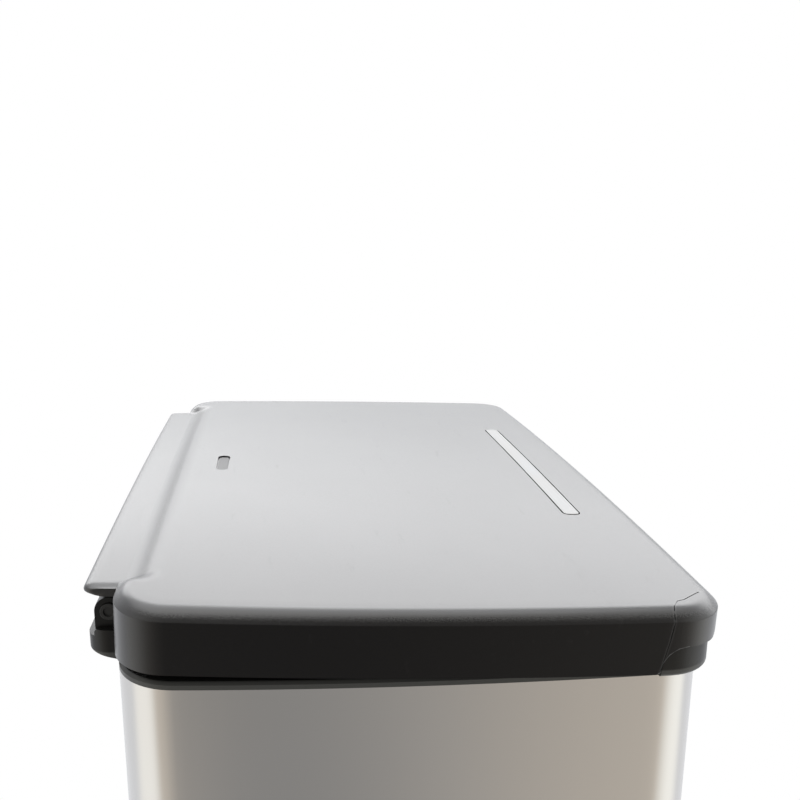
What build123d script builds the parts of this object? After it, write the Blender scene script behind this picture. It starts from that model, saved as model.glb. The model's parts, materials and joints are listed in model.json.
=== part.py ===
from build123d import *
from math import cos, radians, sin, sqrt, tan
import os

# A pedal bin with two inner buckets side by side along X, under one lid hinged at the rear (+Y).
# The pedal is at the front (-Y). Lengths are in millimetres, angles in degrees.
# The origin is on the floor, below the middle of the steel shell.

# Steel shell
body_length = 477.0
body_width = 294.0
body_corner = 32.0
end_bow = 5.5
shell_wall = 1.0
shell_top = 612.0
fit_gap = 0.3

# Lid, sized from the shell below it
lid_overhang_ends = 4.0
lid_overhang_sides = 3.0
lid_length = body_length + 2 * lid_overhang_ends
lid_width = body_width + 2 * lid_overhang_sides
lid_corner = 29.0
lid_tilt = 1.8
lid_rise = 38.0
lid_forward = 3.6
lid_crown = 4.5
lid_bevel = 5.0
lid_wall = 2.6
skirt_depth = 32.0
front_skirt_depth = 18.0
front_cut_back = 35.5
front_cut_y = lid_width / 2 - front_cut_back
front_cut_radius = 13.0
front_lip_thickness = 9.5
front_lip_height = 8.0
front_slope_depth = 6.5
front_slope_height = 5.6

# Lid hinge, placed from the middle of the lid's edge plane
hinge_behind_lid = 5.0
hinge_drop = 18.0
hinge_rod_radius = 3.0
running_gap = 0.06
lid_opening = 80.0
knuckle_radius = 7.0
knuckle_width = 14.0
knuckle_gap = 2.0
post_radius = 7.5
post_width = 8.0
rod_cap_radius = 4.5
rod_cap_width = 1.2
rod_cap_dimple = 2.6

# Hinge cover, the lower step that the lid carries over its hinge
cover_end_inset = 37.5
cover_half_length = lid_length / 2 - cover_end_inset
cover_reach = 18.0
cover_step = 5.3
cover_thickness = 5.3
cover_corner = 6.0
cover_nose_depth = 6.5
cover_nose_height = 3.6

# Trim on the lid
strip_length = 221.0
strip_width = 9.5
strip_corner = 3.0
strip_from_edge = 39.0
strip_from_middle = lid_width / 2 - strip_from_edge
strip_proud = 0.3
badge_length = 36.0
badge_width = 7.0
badge_from_edge = 42.0
badge_from_middle = lid_width / 2 - badge_from_edge
inlay_depth = 1.2
inlay_gap = 0.8

# Collar
flange_thickness = 4.0
flange_bevel = 1.6
collar_wall = 2.5
collar_skirt = 16.0
rim_inset = 13.0
rim_below_lid = 14.0
band_end_inset = 1.2
band_front_inset = 3.5
band_gap = 1.0
band_bottom_round = 2.2
mouth_inset_ends = 15.5
mouth_inset_front = 17.0
mouth_before_rod = 17.89
mouth_corner = 18.0
divider_width = 10.0
divider_height = 10.0
shelf_past_cover = 2.0
shelf_behind_hinge = 12.1
shelf_before_hinge = 3.7
shelf_below_hinge = 8.9
shelf_step = 4.0
shelf_step_width = 4.0
shelf_round = 2.5
shelf_corner = 12.0

# Opening linkage: a crank on the lid, a push rod and a pedal lever
crank_offset = 22.0
crank_thickness = 4.0
crank_width = 16.0
crank_slot_play = 1.5
rod_width = 12.0
rod_depth = 10.0
rod_play = 0.3
rod_pin_radius = 2.5
fork_gap = 0.6
fork_depth = 18.0
lever_pin_radius = 3.0
pivot_pin_radius = 4.0
bracket_depth = 28.0
bracket_foot = 7.0
bracket_foot_margin = 12.0
pivot_from_front = 95.0
pivot_height = 34.0
lever_width = 36.0
lever_gauge = 2.5
lever_flange_up = 5.5
lever_flange_down = 6.0
lever_tail = 6.0
lever_nose_inset = 7.0

# Pedal
pedal_length = 150.0
pedal_depth = 38.0
pedal_reach = 50.0
pedal_plate = 3.0
pedal_fold = 10.0
pedal_corner = 9.0
tread_margin = 6.0
tread_thickness = 2.0
tread_ribs = 5
pedal_screw_x = 10.0

# Base
foot_height = 3.0
foot_radius = 12.0
foot_plug_radius = 5.0
foot_inset_ends = 43.5
foot_inset_sides = 47.0
base_floor = 3.0
base_rim_height = 13.0
base_rim_proud = 1.5
base_wall = 2.5
bucket_floor_height = 60.0
bucket_floor_thickness = 3.0
floor_post_radius = 8.0
opening_half_width = 24.0
opening_bottom = 12.0
opening_top = 56.0

# Buckets
bucket_gap = 1.5
bucket_wall = 2.0
bucket_taper = 1.0
bucket_corner = 22.0
bucket_rim_rise = 6.0
bucket_rim_width = 3.5
bucket_rim_height = 4.0

# Rod guide and damper
channel_gauge = 1.5
channel_inside = 32.0
channel_depth = 17.0
channel_top_gap = 14.0
channel_foot = 12.0
bush_height = 12.0
bush_play = 0.1
lug_width = 7.0
lug_height = 26.0
damper_x = 32.0
damper_radius = 8.0
damper_length = 110.0
damper_bottom = 385.0
damper_rod_radius = 2.0
damper_clamp_height = 12.0
damper_clamp_wall = 2.5
damper_arm_thickness = 4.0

# Fasteners and bumpers
screw_radius = 1.5
screw_head_radius = 3.0
screw_head_height = 2.0
screw_clearance = 0.2
pilot_gap = 0.05
boss_radius = 4.5
liner_thickness = 2.0
liner_drop = 7.0
liner_inset = 6.0
liner_inset_back = 32.0
liner_screw_inset_ends = 52.5
liner_screw_inset_front = 50.0
liner_screw_inset_back = 23.0
pad_length = 34.0
pad_width = 20.0
pad_before_hinge = 19.0
pad_drop = 4.0
crank_screw_x = 10.0
bumper_radius = 3.8
bumper_gap = 0.3
bumper_from_end = 92.5

# Places worked out from the sizes above
tilt = radians(lid_tilt)
lid_height = shell_top + lid_rise
lid_plane = Plane(origin=(0, -lid_forward, lid_height), x_dir=(1, 0, 0), z_dir=(0, -sin(tilt), cos(tilt)))
lid_across = Plane(origin=lid_plane.origin, x_dir=(1, 0, 0), z_dir=-lid_plane.y_dir)
lid_side = Plane(origin=lid_plane.origin, x_dir=lid_plane.y_dir, z_dir=(1, 0, 0))
hinge_back = lid_width / 2 + hinge_behind_lid
hinge_y = -lid_forward + hinge_back * cos(tilt) + hinge_drop * sin(tilt)
hinge_z = lid_height + hinge_back * sin(tilt) - hinge_drop * cos(tilt)
hinge_plane = Plane(origin=(0, hinge_y, hinge_z), x_dir=(0, 1, 0), z_dir=(1, 0, 0))
crank_angle = radians(lid_opening / 2)
half_stroke = crank_offset * tan(crank_angle)
rod_y = hinge_y - crank_offset
rod_pin_z = hinge_z - half_stroke
pivot_y = pivot_from_front - body_width / 2
lever_back = rod_y - pivot_y
lever_angle = half_stroke / lever_back
lever_pin_z = pivot_height - half_stroke
lever_reach = sqrt(lever_back**2 + half_stroke**2)
lever_plane = Plane(
    origin=(0, pivot_y, pivot_height), x_dir=(1, 0, 0), z_dir=(0, sin(lever_angle), cos(lever_angle))
)
pedal_front = pivot_from_front + pedal_reach
lever_nose = pedal_front - lever_nose_inset
foot_x = body_length / 2 - foot_inset_ends
foot_y = body_width / 2 - foot_inset_sides
mouth_length = body_length - 2 * mouth_inset_ends
mouth_front = body_width / 2 - mouth_inset_front
mouth_back = rod_y - mouth_before_rod
liner_back = lid_width / 2 - liner_inset_back
bumper_x = lid_length / 2 - bumper_from_end
shell_bottom = foot_height + base_rim_height
floor_top = bucket_floor_height + bucket_floor_thickness
flange_top = shell_top + flange_thickness
skirt_inset = shell_wall + fit_gap
shelf_top = hinge_z - shelf_below_hinge
shelf_back = hinge_y + shelf_behind_hinge
shelf_front = hinge_y - shelf_before_hinge
shelf_half_length = cover_half_length + shelf_past_cover
knuckle_x = cover_half_length - 2.0 - post_width
crank_post_x = rod_width / 2 + knuckle_gap + 1.0


def bowed_outline(length, width, bow, radius, centre_y=0.0):
    """A rounded rectangle whose two short ends bulge outward."""
    x, front, back = length / 2, centre_y - width / 2, centre_y + width / 2
    with BuildSketch() as sketch:
        with BuildLine():
            Line((-x, front), (x, front))
            ThreePointArc((x, front), (x + bow, centre_y), (x, back))
            Line((x, back), (-x, back))
            ThreePointArc((-x, back), (-x - bow, centre_y), (-x, front))
        make_face()
        fillet(sketch.vertices(), radius)
    return sketch.sketch


def body_outline(inset=0.0):
    return bowed_outline(body_length - 2 * inset, body_width - 2 * inset, end_bow, body_corner - inset)


def lid_outline(inset=0.0, front_inset=None):
    """The lid's outline, drawn in its inset, with its own inset at the front edge."""
    front = inset if front_inset is None else front_inset
    width = lid_width - inset - front
    corner = max(lid_corner - inset, 2.0)
    return bowed_outline(lid_length - 2 * inset, width, end_bow, corner, (front - inset) / 2)


def crown_at(x):
    """Height of the lid's crowned top above its edge plane."""
    half = lid_length / 2 + end_bow
    return lid_crown * (1 - (x / half) ** 2)


def crown_band(top, bottom):
    """A slab between the crowned surface moved by top and the same surface moved by bottom."""
    half = lid_length / 2 + end_bow
    with BuildPart() as band:
        with BuildSketch(lid_across):
            with BuildLine():
                ThreePointArc((-half, top), (0, lid_crown + top), (half, top))
                Line((half, top), (half, bottom))
                ThreePointArc((half, bottom), (0, lid_crown + bottom), (-half, bottom))
                Line((-half, bottom), (-half, top))
            make_face()
        extrude(amount=lid_width, both=True)
    return band.part


def crowned_block(outline, drop, depth, bevel):
    """The outline drawn up from depth below the edge plane to the crowned surface."""
    half = lid_length / 2 + end_bow
    with BuildPart() as block:
        with BuildSketch(lid_plane.offset(-depth)):
            add(outline)
        extrude(amount=depth + 2 * lid_crown)
        with BuildSketch(lid_across):
            with BuildLine():
                ThreePointArc((-half, -drop), (0, lid_crown - drop), (half, -drop))
                Line((half, -drop), (half, -depth))
                Line((half, -depth), (-half, -depth))
                Line((-half, -depth), (-half, -drop))
            make_face()
        extrude(amount=lid_width, both=True, mode=Mode.INTERSECT)
        chamfer(block.faces().sort_by(Axis.Z)[-1].edges(), bevel)
    return block.part


def front_cut(gap):
    """The space below the lid's short front skirt, grown by gap towards the lid."""
    back, top = -front_cut_y + gap, -front_skirt_depth + gap
    front, low = -lid_width, -lid_rise - lid_width
    corner = front_cut_radius + gap
    turn = corner * (1 - sqrt(0.5))
    with BuildPart() as cut:
        with BuildSketch(lid_side):
            with BuildLine():
                Line((front, low), (back, low))
                Line((back, low), (back, top - corner))
                ThreePointArc((back, top - corner), (back - turn, top - turn), (back - corner, top))
                Line((back - corner, top), (front, top))
                Line((front, top), (front, low))
            make_face()
        extrude(amount=lid_length, both=True)
    return cut.part


def pan_screw(origin, direction, length):
    """A pan-head screw whose head lies against origin and whose shank runs along direction."""
    seat = Plane(origin=origin, z_dir=direction)
    with BuildPart() as screw:
        with BuildSketch(seat):
            Circle(screw_head_radius)
        extrude(amount=-screw_head_height)
        fillet(screw.faces().filter_by(GeomType.PLANE).sort_by(Axis(origin, direction))[0].edges(), 0.8)
        with BuildSketch(seat):
            Circle(screw_radius)
        extrude(amount=length)
    return screw.part


# Steel shell: a sleeve with the pedal's opening at its front
with BuildPart() as steel_shell:
    with BuildSketch(Plane.XY.offset(shell_bottom)):
        add(body_outline())
        add(body_outline(shell_wall), mode=Mode.SUBTRACT)
    extrude(amount=shell_top - shell_bottom)
    with BuildSketch(Plane.XZ.offset(body_width / 2 + shell_wall)):
        with Locations((0, (shell_bottom + opening_top) / 2)):
            Rectangle(2 * opening_half_width, opening_top - shell_bottom)
    extrude(amount=-4 * shell_wall, mode=Mode.SUBTRACT)

# Base pan: a rim under the shell, a wall inside it, a floor, and posts for the bucket floor
foot_places = [(x, y) for x in (-foot_x, foot_x) for y in (-foot_y, foot_y)]
post_places = [(x, y) for x in (-body_length / 4, body_length / 4) for y in (-foot_y, foot_y)]
bracket_x = lever_width / 2 + 1.5
bracket_foot_x = bracket_x + lever_gauge + bracket_foot
bracket_screws = [(x, pivot_y + y) for x in (-bracket_foot_x, bracket_foot_x) for y in (-bracket_depth / 4, bracket_depth / 4)]
base_top = foot_height + base_floor
with BuildPart() as base_pan:
    with BuildSketch(Plane.XY.offset(foot_height)):
        add(body_outline(-base_rim_proud))
    extrude(amount=base_rim_height)
    fillet(base_pan.faces().sort_by(Axis.Z)[0].edges(), base_rim_proud)
    with BuildSketch(Plane.XY.offset(shell_bottom)):
        add(body_outline(skirt_inset))
    extrude(amount=bucket_floor_height - shell_bottom)
    with BuildSketch(Plane.XY.offset(base_top)):
        add(body_outline(skirt_inset + base_wall))
    extrude(amount=bucket_floor_height, mode=Mode.SUBTRACT)
    with BuildSketch(Plane.XY.offset(base_top)):
        with Locations(*post_places):
            Circle(floor_post_radius)
    extrude(amount=bucket_floor_height - base_top)
    with BuildSketch(Plane.XZ.offset(body_width / 2 + 2 * base_wall)):
        with Locations((0, (opening_bottom + opening_top) / 2)):
            Rectangle(2 * opening_half_width, opening_top - opening_bottom)
    extrude(amount=-5 * base_wall, mode=Mode.SUBTRACT)
    with BuildSketch(Plane.XY.offset(foot_height)):
        with Locations(*foot_places):
            Circle(foot_plug_radius + screw_clearance)
        with Locations(*bracket_screws):
            Circle(screw_radius + pilot_gap)
    extrude(amount=base_floor, mode=Mode.SUBTRACT)

# Four rubber feet, each with a plug through the base floor
with BuildPart() as rubber_feet:
    with BuildSketch():
        with Locations(*foot_places):
            Circle(foot_radius)
    extrude(amount=foot_height)
    chamfer(rubber_feet.faces().filter_by(Axis.Z).group_by(Axis.Z)[0].edges(), foot_height / 3)
    with BuildSketch(Plane.XY.offset(foot_height)):
        with Locations(*foot_places):
            Circle(foot_plug_radius)
    extrude(amount=base_floor + 1.0)

# Bucket floor: a plate on the base wall and posts, with a hole for the push rod
channel_feet_x = channel_inside / 2 + channel_gauge + channel_foot / 2
floor_screws = [(-channel_feet_x, rod_y), (channel_feet_x, rod_y)]
with BuildPart() as bucket_floor:
    with BuildSketch(Plane.XY.offset(bucket_floor_height)):
        add(body_outline(skirt_inset))
        with Locations((0, rod_y)):
            Rectangle(rod_width + 4.0, rod_depth + 6.0, mode=Mode.SUBTRACT)
        with Locations(*floor_screws):
            Circle(screw_radius + pilot_gap, mode=Mode.SUBTRACT)
    extrude(amount=bucket_floor_thickness)

# Buckets: tapered pails with a thick rim to lift them by
bucket_length = (mouth_length - divider_width) / 2 - 2 * bucket_gap
bucket_depth = mouth_front + mouth_back - 2 * bucket_gap
bucket_x = (mouth_length + divider_width) / 4
bucket_y = (mouth_back - mouth_front) / 2
bucket_top = flange_top + bucket_rim_rise
bucket_height = bucket_top - floor_top


def make_bucket(x):
    """One bucket with its middle at x."""
    body_x, body_y = bucket_length - 2 * bucket_rim_width, bucket_depth - 2 * bucket_rim_width
    with BuildPart() as bucket:
        with BuildSketch(Plane.XY.offset(bucket_top)):
            with Locations((x, bucket_y)):
                RectangleRounded(body_x, body_y, bucket_corner)
        extrude(amount=-bucket_height, taper=bucket_taper)
        fillet(bucket.faces().sort_by(Axis.Z)[0].edges(), 3 * bucket_wall)
        with BuildSketch(Plane.XY.offset(bucket_top - bucket_rim_height)):
            with Locations((x, bucket_y)):
                RectangleRounded(bucket_length, bucket_depth, bucket_corner + bucket_rim_width)
        extrude(amount=bucket_rim_height)
        with BuildSketch(Plane.XY.offset(bucket_top)):
            with Locations((x, bucket_y)):
                RectangleRounded(body_x - 2 * bucket_wall, body_y - 2 * bucket_wall, bucket_corner - bucket_wall)
        extrude(amount=bucket_wall - bucket_height, taper=bucket_taper, mode=Mode.SUBTRACT)
        fillet(bucket.faces().filter_by(Axis.Z).sort_by(Axis.Z)[1].edges(), 2 * bucket_wall)
        fillet(bucket.faces().sort_by(Axis.Z)[-1].edges(), bucket_rim_height / 4)
    return bucket.part


bucket_left = make_bucket(-bucket_x)
bucket_right = make_bucket(bucket_x)

# Collar: the ring on the shell, with the front band, the hinge shelf and the hinge posts
collar_rim_outer = lid_outline(rim_inset)
collar_rim_inner = lid_outline(rim_inset + collar_wall)
band_outer = lid_outline(band_end_inset, band_front_inset)
rod_slot_front = mouth_back + 3.0
rod_slot_back = rod_y + channel_depth / 2
with BuildPart() as front_band:
    with BuildSketch(Plane.XY.offset(shell_top)):
        with Locations((0, -lid_forward)):
            add(band_outer)
    extrude(amount=lid_rise)
    fillet(front_band.faces().sort_by(Axis.Z)[0].edges(), band_bottom_round)
    with BuildSketch(Plane.XY.offset(shell_top)):
        with Locations((0, -lid_forward)):
            add(collar_rim_inner)
    extrude(amount=lid_rise, mode=Mode.SUBTRACT)
    add(front_cut(-band_gap), mode=Mode.INTERSECT)

# The shelf behind the lid, its rear corners rounded in plan
shelf_inner = body_width / 2 - collar_wall
with BuildPart() as hinge_shelf:
    with BuildSketch(Plane.YZ.offset(-shelf_half_length)) as shelf_section:
        with BuildLine():
            Polyline(
                (shelf_inner, shell_top),
                (body_width / 2 + 1.0, shell_top),
                (shelf_back, shell_top + shelf_step),
                (shelf_back, shelf_top - shelf_step),
                (shelf_back - shelf_step_width, shelf_top - shelf_step),
                (shelf_back - shelf_step_width, shelf_top),
                (shelf_front, shelf_top),
                (shelf_front, flange_top),
                (shelf_inner, flange_top),
                close=True,
            )
        make_face()
        fillet(shelf_section.vertices().group_by(Axis.Y)[-1], shelf_round)
    extrude(amount=2 * shelf_half_length)
    with BuildSketch(Plane.XY.offset(shell_top)) as shelf_plan:
        with Locations((0, (shelf_inner + shelf_back) / 2)):
            Rectangle(2 * shelf_half_length, shelf_back - shelf_inner)
        fillet(shelf_plan.vertices().group_by(Axis.Y)[-1], shelf_corner)
    extrude(amount=lid_rise, mode=Mode.INTERSECT)

with BuildPart() as rim_collar:
    with BuildSketch(Plane.XY.offset(shell_top)):
        add(body_outline())
    extrude(amount=flange_thickness)
    chamfer(rim_collar.faces().sort_by(Axis.Z)[-1].edges(), flange_bevel)
    with BuildSketch(Plane.XY.offset(shell_top)):
        add(body_outline(skirt_inset))
        add(body_outline(skirt_inset + collar_wall), mode=Mode.SUBTRACT)
    extrude(amount=-collar_skirt)
    with BuildSketch(Plane.XY.offset(flange_top)):
        with Locations((0, -lid_forward)):
            add(collar_rim_outer)
            add(collar_rim_inner, mode=Mode.SUBTRACT)
    extrude(amount=lid_rise)
    with BuildSketch(lid_plane.offset(-rim_below_lid)):
        Rectangle(2 * lid_length, 2 * lid_width)
    extrude(amount=lid_rise, mode=Mode.SUBTRACT)
    add(front_band.part)
    with BuildSketch(Plane.XY.offset(shell_top - collar_skirt)):
        with Locations((0, bucket_y)):
            RectangleRounded(mouth_length, mouth_front + mouth_back, mouth_corner)
    extrude(amount=collar_skirt + flange_thickness, mode=Mode.SUBTRACT)
    # The bar between the two buckets
    with BuildSketch(Plane.XY.offset(flange_top - divider_height)):
        with Locations((0, bucket_y)):
            Rectangle(divider_width, mouth_front + mouth_back)
    extrude(amount=divider_height)
    add(hinge_shelf.part)
    # The hinge posts, one at each end and one at each side of the crank
    for x in (-knuckle_x - post_width, knuckle_x, crank_post_x, -crank_post_x - post_width):
        with BuildSketch(hinge_plane.offset(x)):
            Circle(post_radius)
            with Locations((0, -shelf_below_hinge / 2 - 1.0)):
                Rectangle(2 * post_radius, shelf_below_hinge + 2.0)
        extrude(amount=post_width)
    with BuildSketch(hinge_plane):
        Circle(hinge_rod_radius + running_gap)
    extrude(amount=2 * cover_half_length, both=True, mode=Mode.SUBTRACT)
    # Room for the crank and the push rod
    with BuildSketch(Plane.XY.offset(shell_top - collar_skirt)):
        with Locations((0, (rod_slot_front + rod_slot_back) / 2)):
            Rectangle(rod_width + 4.0, rod_slot_back - rod_slot_front)
    extrude(amount=collar_skirt + lid_rise, mode=Mode.SUBTRACT)
    for low, back in ((shell_top, body_width / 2 - shell_wall), (shelf_top - 10.0, hinge_y + 4.0)):
        with BuildSketch(Plane.XY.offset(low)):
            with Locations((0, (rod_slot_front + back) / 2)):
                Rectangle(crank_thickness + 4.0, back - rod_slot_front)
        extrude(amount=lid_rise, mode=Mode.SUBTRACT)
    # Two lugs that hold the guide channel
    lug_x = rod_width / 2 + 2.5 + lug_width / 2
    channel_back = rod_y + channel_depth / 2 + channel_gauge
    with BuildSketch(Plane.XY.offset(shell_top)):
        with Locations((-lug_x, channel_back + 1.5), (lug_x, channel_back + 1.5)):
            Rectangle(lug_width, 3.0)
    extrude(amount=-lug_height)
    with BuildSketch(Plane.XZ.offset(-channel_back)):
        with Locations((-lug_x, shell_top - lug_height + 5.0), (lug_x, shell_top - lug_height + 5.0)):
            Circle(screw_radius + pilot_gap)
    extrude(amount=-3.0, mode=Mode.SUBTRACT)

# Lid shell: the crowned top, the skirt and the hinge cover in one moulding
inner_bevel = max(lid_bevel - lid_wall * (2 - sqrt(2)), 0.5)
lid_inside = crowned_block(lid_outline(lid_wall), lid_wall, skirt_depth + 1.0, inner_bevel)
liner_screw_x = lid_length / 2 - liner_screw_inset_ends
liner_screw_rows = (liner_screw_inset_front - lid_width / 2, liner_back - liner_screw_inset_back)
liner_screws = [(x, y) for x in (-liner_screw_x, 0.0, liner_screw_x) for y in liner_screw_rows]
pad_y = hinge_back - pad_before_hinge
with BuildPart() as cover_block:
    with BuildSketch(lid_plane.offset(-skirt_depth)) as cover_sketch:
        with Locations((0, lid_width / 2 + (cover_reach - lid_wall) / 2)):
            Rectangle(2 * cover_half_length, cover_reach + lid_wall)
        fillet(cover_sketch.vertices().group_by(Axis.Y)[-1], cover_corner)
    extrude(amount=skirt_depth + 2 * lid_crown)
    add(crown_band(-cover_step, -cover_step - cover_thickness), mode=Mode.INTERSECT)
    cover_back = lid_width / 2 + cover_reach
    cover_low = -cover_step - cover_thickness
    with BuildSketch(lid_side):
        with BuildLine():
            Polyline(
                (cover_back - cover_nose_depth, cover_low - 1.0),
                (cover_back + 1.0, cover_low - 1.0),
                (cover_back + 1.0, cover_low + cover_nose_height),
                (cover_back, cover_low + cover_nose_height),
                close=True,
            )
        make_face()
    extrude(amount=cover_half_length, both=True, mode=Mode.SUBTRACT)

with BuildPart() as lid_shell:
    add(crowned_block(lid_outline(), 0.0, skirt_depth, lid_bevel))
    add(lid_inside, mode=Mode.SUBTRACT)
    # The thicker lip at the front
    with BuildSketch(lid_plane.offset(-front_skirt_depth)):
        add(lid_outline())
        add(lid_outline(front_lip_thickness), mode=Mode.SUBTRACT)
        with Locations((0, lid_width / 2 - front_cut_y)):
            Rectangle(2 * lid_length, lid_width, mode=Mode.SUBTRACT)
    extrude(amount=front_lip_height)
    add(front_cut(0.0), mode=Mode.SUBTRACT)
    slope_low = -front_skirt_depth
    with BuildSketch(lid_side):
        with BuildLine():
            Polyline(
                (-lid_width / 2 - 1.0, slope_low + front_slope_height),
                (-lid_width / 2, slope_low + front_slope_height),
                (-lid_width / 2 + front_slope_depth, slope_low),
                (-lid_width / 2 + front_slope_depth, slope_low - 1.0),
                (-lid_width / 2 - 1.0, slope_low - 1.0),
                close=True,
            )
        make_face()
    extrude(amount=lid_length, both=True, mode=Mode.SUBTRACT)
    # The rear wall is open below the cover, from one hinge post to the other
    with BuildSketch(lid_plane.offset(-skirt_depth - 1.0)):
        with Locations((0, lid_width / 2)):
            Rectangle(2 * cover_half_length + 2.0, 4 * lid_wall)
    extrude(amount=skirt_depth + 1.0 - cover_step - cover_thickness, mode=Mode.SUBTRACT)
    add(cover_block.part)
    # Bosses for the liner screws
    for x, y in liner_screws:
        with BuildSketch(lid_plane.offset(-liner_drop)):
            with Locations((x, y)):
                Circle(boss_radius)
        extrude(amount=liner_drop + crown_at(abs(x) + boss_radius) - lid_wall / 2)
        with BuildSketch(lid_plane.offset(-liner_drop)):
            with Locations((x, y)):
                Circle(screw_radius + pilot_gap)
        extrude(amount=liner_drop - lid_wall, mode=Mode.SUBTRACT)
    # The pad that the crank is screwed to
    with BuildSketch(lid_plane.offset(lid_crown - lid_wall - pad_drop)):
        with Locations((0, pad_y)):
            Rectangle(pad_length, pad_width)
    extrude(amount=pad_drop + lid_wall / 2)
    with BuildSketch(lid_plane.offset(lid_crown - lid_wall - pad_drop)):
        with Locations((-crank_screw_x, pad_y), (crank_screw_x, pad_y)):
            Circle(screw_radius + pilot_gap)
    extrude(amount=pad_drop, mode=Mode.SUBTRACT)
    # Hinge knuckles, next to the end posts and the crank posts
    inner_knuckle = crank_post_x + post_width + knuckle_gap
    outer_knuckle = knuckle_x - knuckle_gap - knuckle_width
    for x in (-outer_knuckle - knuckle_width, outer_knuckle, inner_knuckle, -inner_knuckle - knuckle_width):
        web = hinge_drop - cover_step - cover_thickness + crown_at(abs(x)) + 1.0
        with BuildSketch(lid_side.offset(x)):
            with Locations((hinge_back, -hinge_drop)):
                Circle(knuckle_radius)
            with Locations((hinge_back - 1.0, -hinge_drop + web / 2)):
                Rectangle(2 * knuckle_radius - 2.0, web)
        extrude(amount=knuckle_width)
    with BuildSketch(hinge_plane):
        Circle(hinge_rod_radius + running_gap)
    extrude(amount=knuckle_x, both=True, mode=Mode.SUBTRACT)
    # Grooves for the accent strip and the blank inlay
    with BuildSketch(lid_plane) as inlays:
        with Locations((0, -strip_from_middle)):
            RectangleRounded(strip_length + 2 * inlay_gap, strip_width + 2 * inlay_gap, strip_corner + inlay_gap)
        with Locations((0, badge_from_middle)):
            SlotOverall(badge_length + 2 * inlay_gap, badge_width + 2 * inlay_gap)
    add(crown_band(lid_crown, -inlay_depth).intersect(extrude(inlays.sketch, lid_crown * 3, both=True, mode=Mode.PRIVATE)),
        mode=Mode.SUBTRACT)

# Accent strip and blank inlay, following the crown
with BuildPart() as accent_strip:
    with BuildSketch(lid_plane):
        with Locations((0, -strip_from_middle)):
            RectangleRounded(strip_length, strip_width, strip_corner)
    extrude(amount=3 * lid_crown, both=True)
    add(crown_band(strip_proud, -inlay_depth), mode=Mode.INTERSECT)

with BuildPart() as blank_inlay:
    with BuildSketch(lid_plane):
        with Locations((0, badge_from_middle)):
            SlotOverall(badge_length, badge_width)
    extrude(amount=3 * lid_crown, both=True)
    add(crown_band(-inlay_gap, -inlay_depth), mode=Mode.INTERSECT)

# Lid liner with its screws, and two bumpers that meet the collar's rim
with BuildPart() as lid_liner:
    with BuildSketch(lid_plane.offset(-liner_drop - liner_thickness)):
        add(lid_outline(liner_inset, front_lip_thickness + 1.0))
        with Locations((0, liner_back + lid_width / 2)):
            Rectangle(2 * lid_length, lid_width, mode=Mode.SUBTRACT)
        with Locations(*liner_screws):
            Circle(screw_radius + screw_clearance, mode=Mode.SUBTRACT)
    extrude(amount=liner_thickness)

with BuildPart() as liner_screw_set:
    for x, y in liner_screws:
        add(
            pan_screw(
                lid_plane.from_local_coords((x, y, -liner_drop - liner_thickness)),
                lid_plane.z_dir,
                liner_thickness + liner_drop - lid_wall - 0.5,
            )
        )

with BuildPart() as lid_bumpers:
    with BuildSketch(lid_plane.offset(-liner_drop - liner_thickness)):
        with Locations(*[(x, -lid_width / 2 + rim_inset + collar_wall / 2) for x in (-bumper_x, bumper_x)]):
            Circle(bumper_radius)
    extrude(amount=liner_drop + liner_thickness + bumper_gap - rim_below_lid)

# Hinge rod, with a cap at each end
with BuildPart() as hinge_rod:
    rod_end = knuckle_x + post_width + running_gap
    with BuildSketch(hinge_plane.offset(-rod_end)):
        Circle(hinge_rod_radius)
    extrude(amount=2 * rod_end)
    for x in (-rod_end - rod_cap_width, rod_end):
        with BuildSketch(hinge_plane.offset(x)):
            Circle(rod_cap_radius)
        extrude(amount=rod_cap_width)
    for x, inward in ((-rod_end - rod_cap_width, 1), (rod_end + rod_cap_width, -1)):
        with BuildSketch(hinge_plane.offset(x)):
            Circle(rod_cap_dimple)
        extrude(amount=inward * rod_cap_width, mode=Mode.SUBTRACT)

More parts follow.
